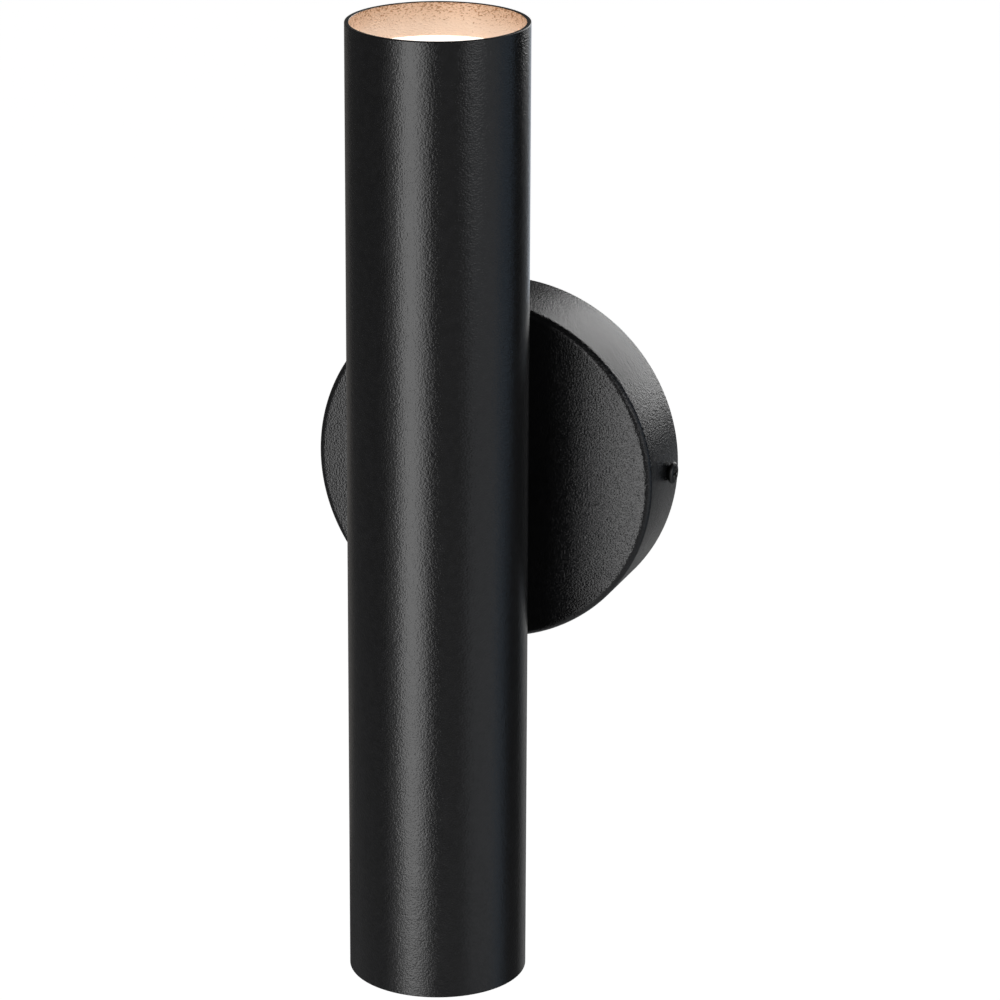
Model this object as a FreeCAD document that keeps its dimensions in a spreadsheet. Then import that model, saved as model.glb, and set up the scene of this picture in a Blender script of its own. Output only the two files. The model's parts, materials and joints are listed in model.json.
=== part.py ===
import FreeCAD, Part
import math
import os
import re
import Sketcher

# Tube wall light: a round canopy on the wall, and an upright tube in front of it that shines up and down.
# The origin is on the wall at the canopy's centre, +Z is up and the room is towards -Y.

SIZES = {
    # how far a cut starts outside the face that it enters, and a tap runs on past its screw
    "cut_overshoot": 1.0,
    "tap_runout": 0.5,
    # tube
    "tube_diameter": 60.0,
    "tube_wall": 1.5,
    "tube_length": 328.0,
    "rim_chamfer": 0.3,
    # canopy
    "canopy_diameter": 120.0,
    "canopy_depth": 30.0,
    "canopy_wall": 1.5,
    "canopy_edge_radius": 1.6,
    # stem between the canopy and the tube
    "stem_length": 12.0,
    "collar_diameter": 22.0,
    "nipple_diameter": 10.0,
    "nipple_bore": 7.0,
    "nipple_clearance": 0.2,
    "nipple_end_length": 1.5,
    "thread_clearance": 0.05,
    "nut_flats": 14.0,
    "nut_thickness": 4.0,
    "nut_bevel_angle": 30.0,
    "lock_washer_diameter": 17.0,
    "lock_washer_ring": 13.6,
    "lock_washer_thickness": 0.8,
    "lock_washer_teeth": 12,
    "lock_washer_tooth_root": 2.5,
    "lock_washer_tooth_tip": 1.7,
    "bushing_flange": 1.0,
    "bushing_flange_inset": 0.5,
    "bushing_depth": 6.0,
    "bushing_wall": 0.7,
    "saddle_washer_diameter": 20.0,
    "saddle_washer_thickness": 2.5,
    # wall bracket
    "bracket_width": 16.0,
    "bracket_thickness": 2.0,
    "ear_clearance": 0.9,
    "ear_length": 14.0,
    "ear_bend_radius": 3.0,
    "slot_spacing": 79.4,
    "slot_length": 14.0,
    "slot_width": 4.5,
    "bracket_centre_hole": 9.0,
    # machine screws: the canopy's two side screws and the earth screw
    "canopy_screw_height": 9.5,
    "canopy_screw_length": 9.0,
    "machine_screw_diameter": 4.0,
    "machine_screw_head": 7.6,
    "machine_screw_head_height": 2.4,
    "machine_screw_head_round": 1.3,
    "side_hole_clearance": 0.3,
    "recess_depth": 1.2,
    "recess_reach": 2.2,
    "recess_width": 0.9,
    "ground_screw_offset": 22.0,
    "terminal_sheet": 0.8,
    "terminal_ring_diameter": 8.0,
    "barrel_wall": 0.6,
    "barrel_length": 6.0,
    "barrel_drop": 11.0,
    # small screws of the driver, the terminal block and the heat sinks
    "small_screw_diameter": 3.0,
    "small_screw_head": 5.4,
    "small_screw_head_height": 1.7,
    "screw_hole_clearance": 0.2,
    # component plate and what it carries
    "plate_thickness": 1.2,
    "plate_margin": 2.0,
    "driver_width": 48.0,
    "driver_height": 24.0,
    "driver_depth": 19.0,
    "driver_bottom": 14.0,
    "driver_wall": 1.5,
    "driver_ear": 8.0,
    "driver_ear_thickness": 2.0,
    "driver_board_standoff": 3.0,
    "driver_board_thickness": 1.6,
    "driver_lead_hole": 5.0,
    "driver_lead_inset": 8.7,
    "post_diameter": 3.0,
    "post_inset": 4.0,
    "lid_lip_height": 1.5,
    "transformer_offset": 6.0,
    "transformer_side": 13.0,
    "transformer_height": 10.0,
    "capacitor_diameter": 7.0,
    "capacitor_height": 9.0,
    "capacitor_offset": 9.0,
    "capacitor_spacing": 9.0,
    "terminal_width": 36.0,
    "terminal_height": 15.0,
    "terminal_depth": 14.0,
    "terminal_drop": 15.0,
    "terminal_pitch": 8.0,
    "terminal_mouth": 3.2,
    "terminal_screw_inset": 3.5,
    "pole_inset": 9.0,
    "clamp_spacing": 8.0,
    "clamp_screw_diameter": 2.5,
    # chassis rail in the tube
    "rail_width": 20.0,
    "rail_thickness": 1.5,
    "rail_bend_radius": 3.0,
    "rail_flange_reach": 17.0,
    # light engines, one in each end of the tube
    "diffuser_recess": 11.0,
    "diffuser_thickness": 2.0,
    "diffuser_skirt": 5.0,
    "diffuser_skirt_wall": 1.1,
    "bore_clearance": 0.2,
    "slide_clearance": 0.1,
    "cup_height": 12.0,
    "cup_wall": 1.2,
    "cup_root_wall": 1.6,
    "cup_foot_thickness": 1.0,
    "cup_foot_width": 8.5,
    "cup_collar_height": 3.0,
    "board_diameter": 50.0,
    "board_thickness": 1.6,
    "board_screw_inset": 2.5,
    "board_screw_count": 3,
    "board_screw_diameter": 2.5,
    "board_screw_head": 4.4,
    "board_screw_head_height": 1.4,
    "board_screw_grip": 4.0,
    "chip_side": 3.0,
    "chip_height": 0.7,
    "chip_circle": 18.0,
    "chip_count": 10,
    "pad_thickness": 0.5,
    "sink_base_thickness": 5.0,
    "sink_fin_length": 18.0,
    "sink_fin_thickness": 1.5,
    "sink_fin_circle": 50.0,
    "sink_fin_count": 18,
    "sink_core_diameter": 12.0,
    "sink_boss_diameter": 8.0,
    "carrier_screw_spacing": 20.0,
    "carrier_screw_length": 8.0,
    # leads
    "lead_diameter": 1.6,
    "lead_insertion": 6.0,
    "lead_pair_offset": 1.0,
    "lead_hole_diameter": 4.0,
    "lead_hole_inset": 2.5,
    "lead_end_height": 0.8,
}

# Places that follow from the sizes. Those near the canopy are distances from the wall; those in the tube
# are distances from its middle or its axis.
TUBE_AXIS = "(canopy_depth + stem_length + tube_diameter / 2)"
TUBE_BORE = "(tube_diameter - 2 * tube_wall)"
CANOPY_BORE = "(canopy_diameter - 2 * canopy_wall)"
NIPPLE_HOLE = "(nipple_diameter + 2 * nipple_clearance)"
THREAD_HOLE = "(nipple_diameter + 2 * thread_clearance)"
MACHINE_SCREW_TAP = "(machine_screw_diameter + 2 * thread_clearance)"
SMALL_SCREW_TAP = "(small_screw_diameter + 2 * thread_clearance)"
SMALL_SCREW_HOLE = "(small_screw_diameter + 2 * screw_hole_clearance)"
BOARD_SCREW_TAP = "(board_screw_diameter + 2 * thread_clearance)"
BOARD_SCREW_HOLE = "(board_screw_diameter + 2 * screw_hole_clearance)"

PLATE_BACK = "(canopy_depth - canopy_wall - plate_thickness)"
WASHER_BACK = f"({PLATE_BACK} - lock_washer_thickness)"
CANOPY_NUT_BACK = f"({WASHER_BACK} - nut_thickness)"
NIPPLE_BACK = f"({CANOPY_NUT_BACK} - nipple_end_length)"
EAR_OUTSIDE = f"({CANOPY_BORE} / 2 - ear_clearance)"
BARREL_BOTTOM = "(-barrel_drop)"
BARREL_TOP = f"({BARREL_BOTTOM} + barrel_length)"
BARREL_DIAMETER = "(lead_diameter + 2 * thread_clearance + 2 * barrel_wall)"
BARREL_DEPTH = f"(bracket_thickness + {BARREL_DIAMETER} / 2)"
DRIVER_BACK = f"({PLATE_BACK} - driver_depth)"
DRIVER_MIDDLE = "(driver_bottom + driver_height / 2)"
DRIVER_SCREW = "(driver_width / 2 + driver_ear / 2)"
DRIVER_BOARD = f"({PLATE_BACK} - driver_wall - driver_board_standoff)"
DRIVER_BOARD_BACK = f"({DRIVER_BOARD} - driver_board_thickness)"
DRIVER_LEAD_DEPTH = f"({DRIVER_BACK} + driver_lead_inset)"
TERMINAL_BACK = f"({PLATE_BACK} - terminal_depth)"
TERMINAL_MIDDLE = "(-terminal_drop - terminal_height / 2)"
TERMINAL_SCREW = "(terminal_width / 2 - terminal_screw_inset)"
POLE_DEPTH = f"({TERMINAL_BACK} + pole_inset)"
POLES = (-1, 0, 1)

RAIL_BACK = f"({TUBE_BORE} / 2 - saddle_washer_thickness)"
RAIL_FRONT = f"({RAIL_BACK} - rail_thickness)"
TUBE_NUT_BACK = f"({TUBE_AXIS} - {RAIL_FRONT})"
NIPPLE_FRONT = f"({TUBE_NUT_BACK} + nut_thickness + nipple_end_length)"
DIFFUSER_FACE = "(tube_length / 2 - diffuser_recess)"
CUP_TOP = f"({DIFFUSER_FACE} - diffuser_thickness)"
BOARD_FACE = f"({CUP_TOP} - cup_height)"
BOARD_BACK = f"({BOARD_FACE} - board_thickness)"
SINK_FACE = f"({BOARD_BACK} - pad_thickness)"
SINK_BACK = f"({SINK_FACE} - sink_base_thickness - sink_fin_length)"
FLANGE_BACK = f"({SINK_BACK} - rail_thickness)"
BORE_FIT = f"({TUBE_BORE} - 2 * bore_clearance)"
SKIRT_BORE = f"({BORE_FIT} - 2 * diffuser_skirt_wall)"
CUP_RIM = f"({SKIRT_BORE} - 2 * slide_clearance)"
CUP_OPENING = "(board_diameter - 2 * cup_foot_width)"
BOARD_SCREW_CIRCLE = "(board_diameter - 2 * board_screw_inset)"
LEAD_HOLE = f"({CUP_OPENING} / 2 - lead_hole_inset)"

VECTOR = FreeCAD.Vector

# How a sketch numbers the points of a line or an arc.
START_POINT, END_POINT, CENTRE_POINT = range(1, 4)

# Lengths closer than TINY are the same. A lead's arc takes up ARC_SHARE of the shorter run beside it, and
# its volume may differ from that of a straight one by the share VOLUME_TOLERANCE.
TINY = 1e-6
ARC_SHARE = 0.45
VOLUME_TOLERANCE = 0.01

doc = FreeCAD.newDocument("tube_wall_light")
sheet = doc.addObject("Spreadsheet::Sheet", "Sizes")
for row, (size_name, size_value) in enumerate(SIZES.items(), start=1):
    sheet.set(f"A{row}", size_name)
    sheet.set(f"B{row}", str(size_value))
    sheet.setAlias(f"B{row}", size_name)
doc.recompute()


# --- helpers that bind features to the sheet ---------------------------------------------------------

def cells(text):
    """Write every size name in an expression as its cell in the sheet."""
    return re.sub(r"[a-z_]+", lambda word: f"Sizes.{word[0]}" if word[0] in SIZES else word[0], text)


def size(text):
    """Give the number that an expression comes to."""
    return float(sheet.evalExpression(cells(text)))


def bind(thing, name, text):
    """Tie a property to an expression."""
    thing.setExpression(name, cells(text))


def new_body(name):
    body = doc.addObject("PartDesign::Body", name)
    body.Label = name
    body.AllowCompound = True
    return body


def origin_feature(body, role):
    return next(feature for feature in body.Origin.OriginFeatures if feature.Role == role)


def sketch_on(body, name, plane, offset="0"):
    """Add a sketch on one of the body's own planes. XZ offsets count away from the wall."""
    sketch = body.newObject("Sketcher::SketchObject", name)
    sketch.AttachmentSupport = [(origin_feature(body, plane), "")]
    sketch.MapMode = "FlatFace"
    bind(sketch, "AttachmentOffset.Base.z", offset)
    return sketch


def constrain(sketch, kind, geometry, point, text):
    """Add a dimension whose value is an expression."""
    if point is None:
        index = sketch.addConstraint(Sketcher.Constraint(kind, geometry, size(text)))
    else:
        index = sketch.addConstraint(Sketcher.Constraint(kind, geometry, point, size(text)))
    bind(sketch, f"Constraints[{index}]", text)


def pin(sketch, geometry, point, across, up):
    """Fix a point of the sketch by two expressions."""
    constrain(sketch, "DistanceX", geometry, point, across)
    constrain(sketch, "DistanceY", geometry, point, up)


def add_circle(sketch, diameter, across="0", up="0"):
    centre = VECTOR(size(across), size(up), 0)
    circle = sketch.addGeometry(Part.Circle(centre, VECTOR(0, 0, 1), size(diameter) / 2))
    constrain(sketch, "Diameter", circle, None, diameter)
    pin(sketch, circle, CENTRE_POINT, across, up)


def add_outline(sketch, corners):
    """Add a closed outline of straight lines. Each corner is a pair of expressions."""
    points = [VECTOR(size(across), size(up), 0) for across, up in corners]
    ends = points[1:] + points[:1]
    lines = [sketch.addGeometry(Part.LineSegment(start, end)) for start, end in zip(points, ends)]
    for line, following in zip(lines, lines[1:] + lines[:1]):
        sketch.addConstraint(Sketcher.Constraint("Coincident", line, END_POINT, following, START_POINT))
    for line, (across, up) in zip(lines, corners):
        pin(sketch, line, START_POINT, across, up)


def add_rectangle(sketch, left, right, bottom, top):
    add_outline(sketch, [(left, bottom), (right, bottom), (right, top), (left, top)])


def add_slot(sketch, middle, length, width):
    """Add a slot with round ends along the sketch's X axis."""
    half = f"({length} - {width}) / 2"
    ends = [f"{middle} - {half}", f"{middle} + {half}"]
    radius = size(width) / 2
    left_centre = VECTOR(size(ends[0]), 0, 0)
    right_centre = VECTOR(size(ends[1]), 0, 0)
    rise = VECTOR(0, radius, 0)
    left_circle = Part.Circle(left_centre, VECTOR(0, 0, 1), radius)
    right_circle = Part.Circle(right_centre, VECTOR(0, 0, 1), radius)
    left = sketch.addGeometry(Part.ArcOfCircle(left_circle, math.pi / 2, 3 * math.pi / 2))
    right = sketch.addGeometry(Part.ArcOfCircle(right_circle, -math.pi / 2, math.pi / 2))
    upper = sketch.addGeometry(Part.LineSegment(left_centre + rise, right_centre + rise))
    lower = sketch.addGeometry(Part.LineSegment(left_centre - rise, right_centre - rise))
    joins = [(left, START_POINT, upper, START_POINT), (right, END_POINT, upper, END_POINT),
             (left, END_POINT, lower, START_POINT), (right, START_POINT, lower, END_POINT)]
    for join in joins:
        sketch.addConstraint(Sketcher.Constraint("Tangent", *join))
    constrain(sketch, "Diameter", left, None, width)
    pin(sketch, left, CENTRE_POINT, ends[0], "0")
    constrain(sketch, "DistanceX", right, CENTRE_POINT, ends[1])


def pad(body, sketch, length, symmetric=False, backward=False):
    """Raise a sketch along its normal, or backward, against it."""
    feature = body.newObject("PartDesign::Pad", f"{sketch.Name}_pad")
    feature.Profile = sketch
    feature.SideType = "Symmetric" if symmetric else "One side"
    feature.Reversed = backward
    bind(feature, "Length", length)
    return feature


def pocket(body, sketch, length, symmetric=False):
    """Cut a sketch into the body against the sketch's normal."""
    feature = body.newObject("PartDesign::Pocket", f"{sketch.Name}_pocket")
    feature.Profile = sketch
    feature.SideType = "Symmetric" if symmetric else "One side"
    bind(feature, "Length", length)
    return feature


def turn(body, sketch, axis, kind="PartDesign::Revolution"):
    """Revolve a profile once round the sketch's own H_Axis or V_Axis; the kind Groove cuts."""
    feature = body.newObject(kind, f"{sketch.Name}_turned")
    feature.Profile = sketch
    feature.ReferenceAxis = (sketch, [axis])
    feature.Angle = 360
    return feature


def around(body, features, count):
    """Repeat features round the body's own Z axis."""
    pattern = body.newObject("PartDesign::PolarPattern", f"{body.Name}_round")
    pattern.Originals = features
    pattern.Axis = (origin_feature(body, "Z_Axis"), [""])
    pattern.Angle = 360
    bind(pattern, "Occurrences", count)
    body.Tip = pattern
    return pattern


def mirrored(body, features, plane):
    """Repeat features on the other side of one of the body's own planes."""
    mirror = body.newObject("PartDesign::Mirrored", f"{body.Name}_mirrored")
    mirror.Originals = features
    mirror.MirrorPlane = (origin_feature(body, plane), [""])
    body.Tip = mirror
    return mirror


def dress_edges(body, kind, wanted, radius):
    """Fillet or chamfer the edges for which wanted(edge) is true."""
    doc.recompute()
    base = body.Tip
    names = [f"Edge{index}" for index, edge in enumerate(base.Shape.Edges, start=1) if wanted(edge)]
    feature = body.newObject(f"PartDesign::{kind}", f"{body.Name}_{kind.lower()}")
    feature.Base = (base, names)
    bind(feature, "Radius" if kind == "Fillet" else "Size", radius)
    return feature


def is_ring(edge, diameter):
    """Say whether an edge is a whole circle of this diameter."""
    round_edge = isinstance(edge.Curve, Part.Circle) and len(edge.Vertexes) == 1
    return round_edge and abs(edge.Curve.Radius - diameter / 2) < TINY


def in_tube(body, flipped=False):
    """Put a body that is drawn about the tube's axis in its place; flipped is for the lower end."""
    rotation = FreeCAD.Rotation(VECTOR(1, 0, 0), 180 if flipped else 0)
    body.Placement = FreeCAD.Placement(VECTOR(0, 0, 0), rotation)
    bind(body, "Placement.Base.y", f"-{TUBE_AXIS}")
    return body


def add_screw(body, plane, seat, length, across, up, kind="small_screw", head_forward=False):
    """Add a screw along the plane's normal: its head stands on the seat and its shank goes the other way."""
    number = len(body.Group)
    head = sketch_on(body, f"{body.Name}_head_{number}", plane, seat)
    add_circle(head, f"{kind}_head", across, up)
    shank = sketch_on(body, f"{body.Name}_shank_{number}", plane, seat)
    add_circle(shank, f"{kind}_diameter", across, up)
    return [pad(body, head, f"{kind}_head_height", backward=not head_forward),
            pad(body, shank, length, backward=head_forward)]


# --- tube, canopy and the stem that joins them -------------------------------------------------------

def make_tube():
    body = in_tube(new_body("tube"))
    section = sketch_on(body, "tube_section", "XY_Plane")
    add_circle(section, "tube_diameter")
    add_circle(section, TUBE_BORE)
    pad(body, section, "tube_length", symmetric=True)
    hole = sketch_on(body, "tube_nipple_hole", "XZ_Plane")
    add_circle(hole, NIPPLE_HOLE)
    pocket(body, hole, "tube_diameter / 2")
    rims = [size("tube_diameter"), size(TUBE_BORE)]
    dress_edges(body, "Chamfer", lambda edge: any(is_ring(edge, rim) for rim in rims), "rim_chamfer")
    return body


def make_canopy():
    body = new_body("canopy")
    disc = sketch_on(body, "canopy_disc", "XZ_Plane")
    add_circle(disc, "canopy_diameter")
    pad(body, disc, "canopy_depth")

    def front_edge(edge):
        at_front = abs(edge.BoundBox.Center.y + size("canopy_depth")) < TINY
        return at_front and is_ring(edge, size("canopy_diameter"))
    dress_edges(body, "Fillet", front_edge, "canopy_edge_radius")
    hollow = sketch_on(body, "canopy_hollow", "XZ_Plane", "canopy_depth - canopy_wall")
    add_circle(hollow, CANOPY_BORE)
    pocket(body, hollow, "canopy_depth")
    centre = sketch_on(body, "canopy_centre_hole", "XZ_Plane", "canopy_depth")
    add_circle(centre, NIPPLE_HOLE)
    pocket(body, centre, "canopy_depth")
    side = sketch_on(body, "canopy_side_holes", "YZ_Plane")
    add_circle(side, "machine_screw_diameter + 2 * side_hole_clearance", "-canopy_screw_height", "0")
    pocket(body, side, "canopy_diameter + 2 * cut_overshoot", symmetric=True)
    return body


def make_stem_collar():
    """The collar's far end is coped to the tube, so that it seats all round."""
    body = new_body("stem_collar")
    ring = sketch_on(body, "collar_section", "XZ_Plane", "canopy_depth")
    add_circle(ring, "collar_diameter")
    add_circle(ring, NIPPLE_HOLE)
    pad(body, ring, "stem_length + tube_diameter / 2")
    cope = sketch_on(body, "collar_cope", "XY_Plane")
    add_circle(cope, "tube_diameter + 2 * thread_clearance", "0", f"-{TUBE_AXIS}")
    pocket(body, cope, "collar_diameter + 2 * cut_overshoot", symmetric=True)
    return body


def make_threaded_nipple():
    body = new_body("threaded_nipple")
    section = sketch_on(body, "nipple_section", "XZ_Plane", NIPPLE_BACK)
    add_circle(section, "nipple_diameter")
    add_circle(section, "nipple_bore")
    pad(body, section, f"{NIPPLE_FRONT} - {NIPPLE_BACK}")
    return body


def make_nut(name, back):
    """A hexagon nut whose corners are turned off on the side away from the wall."""
    body = new_body(name)
    section = sketch_on(body, f"{name}_section", "XZ_Plane", back)
    corner = "nut_flats / sqrt(3)"
    half_corner = "nut_flats / sqrt(12)"
    add_outline(section, [
        (corner, "0"), (half_corner, "nut_flats / 2"), (f"-{half_corner}", "nut_flats / 2"),
        (f"-{corner}", "0"), (f"-{half_corner}", "-nut_flats / 2"), (half_corner, "-nut_flats / 2"),
    ])
    add_circle(section, THREAD_HOLE)
    pad(body, section, "nut_thickness")
    bevel = sketch_on(body, f"{name}_bevel", "XY_Plane")
    front = f"-({back} + nut_thickness)"
    outside = f"({corner} + cut_overshoot)"
    add_outline(bevel, [
        ("nut_flats / 2", front), (outside, front),
        (outside, f"{front} + ({outside} - nut_flats / 2) * tan(nut_bevel_angle)"),
    ])
    turn(body, bevel, "V_Axis", "PartDesign::Groove")
    return body


def make_lock_washer():
    """An external-tooth washer: a ring with short teeth all round."""
    body = new_body("canopy_lock_washer")
    ring = sketch_on(body, "washer_ring", "XY_Plane")
    add_circle(ring, "lock_washer_ring")
    add_circle(ring, NIPPLE_HOLE)
    pad(body, ring, "lock_washer_thickness")
    tooth = sketch_on(body, "washer_tooth", "XY_Plane")
    root = "lock_washer_ring / 2 - lock_washer_thickness"
    tip = "lock_washer_diameter / 2"
    add_outline(tooth, [
        ("-lock_washer_tooth_root / 2", root), ("lock_washer_tooth_root / 2", root),
        ("lock_washer_tooth_tip / 2", tip), ("-lock_washer_tooth_tip / 2", tip),
    ])
    around(body, [pad(body, tooth, "lock_washer_thickness")], "lock_washer_teeth")
    body.Placement = FreeCAD.Placement(VECTOR(0, 0, 0), FreeCAD.Rotation(VECTOR(1, 0, 0), 90))
    bind(body, "Placement.Base.y", f"-{WASHER_BACK}")
    return body


def make_saddle_washer():
    """A washer inside the tube: round to the bore on one side, flat for the rail on the other."""
    body = in_tube(new_body("saddle_washer"))
    ring = sketch_on(body, "saddle_ring", "XZ_Plane", f"-{TUBE_BORE} / 2")
    add_circle(ring, "saddle_washer_diameter")
    add_circle(ring, NIPPLE_HOLE)
    pad(body, ring, "saddle_washer_thickness")
    outside = sketch_on(body, "saddle_outside", "XY_Plane")
    add_circle(outside, f"{TUBE_BORE} - 2 * thread_clearance")
    add_circle(outside, "tube_diameter * 2")
    pocket(body, outside, "saddle_washer_diameter + 2 * cut_overshoot", symmetric=True)
    return body


def make_bushing(name, nipple_end, towards_wall):
    """A sleeve with a flange that keeps the nipple's cut end off the leads."""
    body = new_body(name)
    outside = "nipple_bore - 2 * thread_clearance"
    bore = f"{outside} - 2 * bushing_wall"
    flange = sketch_on(body, f"{name}_flange", "XZ_Plane", nipple_end)
    add_circle(flange, "nipple_diameter - 2 * bushing_flange_inset")
    add_circle(flange, bore)
    pad(body, flange, "bushing_flange", backward=towards_wall)
    sleeve = sketch_on(body, f"{name}_sleeve", "XZ_Plane", nipple_end)
    add_circle(sleeve, outside)
    add_circle(sleeve, bore)
    pad(body, sleeve, "bushing_depth", backward=not towards_wall)
    return body


# --- wall bracket and the screws in it ---------------------------------------------------------------

def make_wall_bracket():
    """A strap across the wall box, with its ends bent out to ears that take the canopy's screws."""
    body = new_body("wall_bracket")
    profile = sketch_on(body, "bracket_profile", "XY_Plane")
    inside = f"({EAR_OUTSIDE} - bracket_thickness)"
    add_outline(profile, [
        (f"-{EAR_OUTSIDE}", "0"), (EAR_OUTSIDE, "0"), (EAR_OUTSIDE, "-ear_length"),
        (inside, "-ear_length"), (inside, "-bracket_thickness"),
        (f"-{inside}", "-bracket_thickness"), (f"-{inside}", "-ear_length"),
        (f"-{EAR_OUTSIDE}", "-ear_length"),
    ])
    pad(body, profile, "bracket_width", symmetric=True)
    dress_edges(body, "Fillet", lambda edge: is_bend(edge, EAR_OUTSIDE, "0"), "ear_bend_radius")
    dress_edges(body, "Fillet", lambda edge: is_bend(edge, inside, "bracket_thickness"),
                "ear_bend_radius - bracket_thickness")
    holes = sketch_on(body, "bracket_holes", "XZ_Plane", "bracket_thickness + cut_overshoot")
    add_slot(holes, "-slot_spacing / 2", "slot_length", "slot_width")
    add_slot(holes, "slot_spacing / 2", "slot_length", "slot_width")
    add_circle(holes, "bracket_centre_hole")
    add_circle(holes, MACHINE_SCREW_TAP, "-ground_screw_offset", "0")
    pocket(body, holes, "bracket_thickness + 2 * cut_overshoot")
    taps = sketch_on(body, "ear_taps", "YZ_Plane")
    add_circle(taps, MACHINE_SCREW_TAP, "-canopy_screw_height", "0")
    pocket(body, taps, "canopy_diameter", symmetric=True)
    return body


def is_bend(edge, across, depth):
    """Say whether an edge is one of the two upright ones at this distance across and from the wall."""
    middle = edge.BoundBox.Center
    upright = edge.BoundBox.ZLength > size("bracket_width") - TINY and len(edge.Vertexes) == 2
    return upright and abs(abs(middle.x) - size(across)) < TINY and abs(middle.y + size(depth)) < TINY


def make_canopy_screws():
    """Two pan-head screws with cross recesses that hold the canopy to the bracket's ears."""
    body = new_body("canopy_screws")
    seat = "canopy_diameter / 2"
    tip = f"{seat} - canopy_screw_length"
    top = f"{seat} + machine_screw_head_height"
    half = sketch_on(body, "canopy_screw_half", "XY_Plane")
    bind(half, "AttachmentOffset.Base.y", "-canopy_screw_height")
    add_outline(half, [
        (tip, "0"), (tip, "machine_screw_diameter / 2"), (seat, "machine_screw_diameter / 2"),
        (seat, "machine_screw_head / 2"), (top, "machine_screw_head / 2"), (top, "0"),
    ])
    screw = turn(body, half, "H_Axis")
    recess = sketch_on(body, "canopy_screw_recess", "YZ_Plane", top)
    bind(recess, "AttachmentOffset.Base.x", "-canopy_screw_height")
    arm = "recess_width / 2"
    add_outline(recess, [
        ("recess_reach", f"-{arm}"), ("recess_reach", arm), (arm, arm), (arm, "recess_reach"),
        (f"-{arm}", "recess_reach"), (f"-{arm}", arm), ("-recess_reach", arm), ("-recess_reach", f"-{arm}"),
        (f"-{arm}", f"-{arm}"), (f"-{arm}", "-recess_reach"), (arm, "-recess_reach"), (arm, f"-{arm}"),
    ])
    cross = pocket(body, recess, "recess_depth")
    mirrored(body, [screw, cross], "YZ_Plane")

    def head_edge(edge):
        at_top = abs(abs(edge.BoundBox.Center.x) - size(top)) < TINY
        return at_top and is_ring(edge, size("machine_screw_head"))
    dress_edges(body, "Fillet", head_edge, "machine_screw_head_round")
    return body


def make_ground_screw():
    body = new_body("ground_screw")
    seat = "bracket_thickness + terminal_sheet"
    add_screw(body, "XZ_Plane", seat, f"{seat} - thread_clearance", "-ground_screw_offset", "0",
              kind="machine_screw", head_forward=True)
    return body


def make_ground_terminal():
    """A ring under the screw's head and a barrel below it for the lead, joined by a short neck."""
    body = new_body("ground_terminal")
    ring = sketch_on(body, "terminal_ring", "XZ_Plane", "bracket_thickness")
    add_circle(ring, "terminal_ring_diameter", "-ground_screw_offset", "0")
    add_circle(ring, MACHINE_SCREW_TAP, "-ground_screw_offset", "0")
    pad(body, ring, "terminal_sheet")
    neck = sketch_on(body, "terminal_neck", "XZ_Plane", "bracket_thickness")
    side = "lead_diameter"
    add_rectangle(neck, f"-ground_screw_offset - {side}", f"-ground_screw_offset + {side}",
                  f"{BARREL_TOP} - terminal_sheet", "-terminal_ring_diameter / 2 + terminal_sheet")
    pad(body, neck, "terminal_sheet")
    barrel = sketch_on(body, "terminal_barrel", "XY_Plane", BARREL_BOTTOM)
    add_circle(barrel, BARREL_DIAMETER, "-ground_screw_offset", f"-{BARREL_DEPTH}")
    add_circle(barrel, "lead_diameter + 2 * thread_clearance", "-ground_screw_offset", f"-{BARREL_DEPTH}")
    pad(body, barrel, "barrel_length")
    return body


# --- component plate, driver and terminal block ------------------------------------------------------

def make_component_plate():
    body = new_body("component_plate")
    disc = sketch_on(body, "plate_disc", "XZ_Plane", PLATE_BACK)
    add_circle(disc, f"{CANOPY_BORE} - 2 * plate_margin")
    add_circle(disc, NIPPLE_HOLE)
    for side in ("", "-"):
        add_circle(disc, SMALL_SCREW_TAP, f"{side}{DRIVER_SCREW}", DRIVER_MIDDLE)
        add_circle(disc, SMALL_SCREW_TAP, f"{side}{TERMINAL_SCREW}", TERMINAL_MIDDLE)
    pad(body, disc, "plate_thickness")
    return body


def add_driver_outline(sketch, margin="0"):
    add_rectangle(sketch, f"-driver_width / 2 + ({margin})", f"driver_width / 2 - ({margin})",
                  f"driver_bottom + ({margin})", f"driver_bottom + driver_height - ({margin})")


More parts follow.
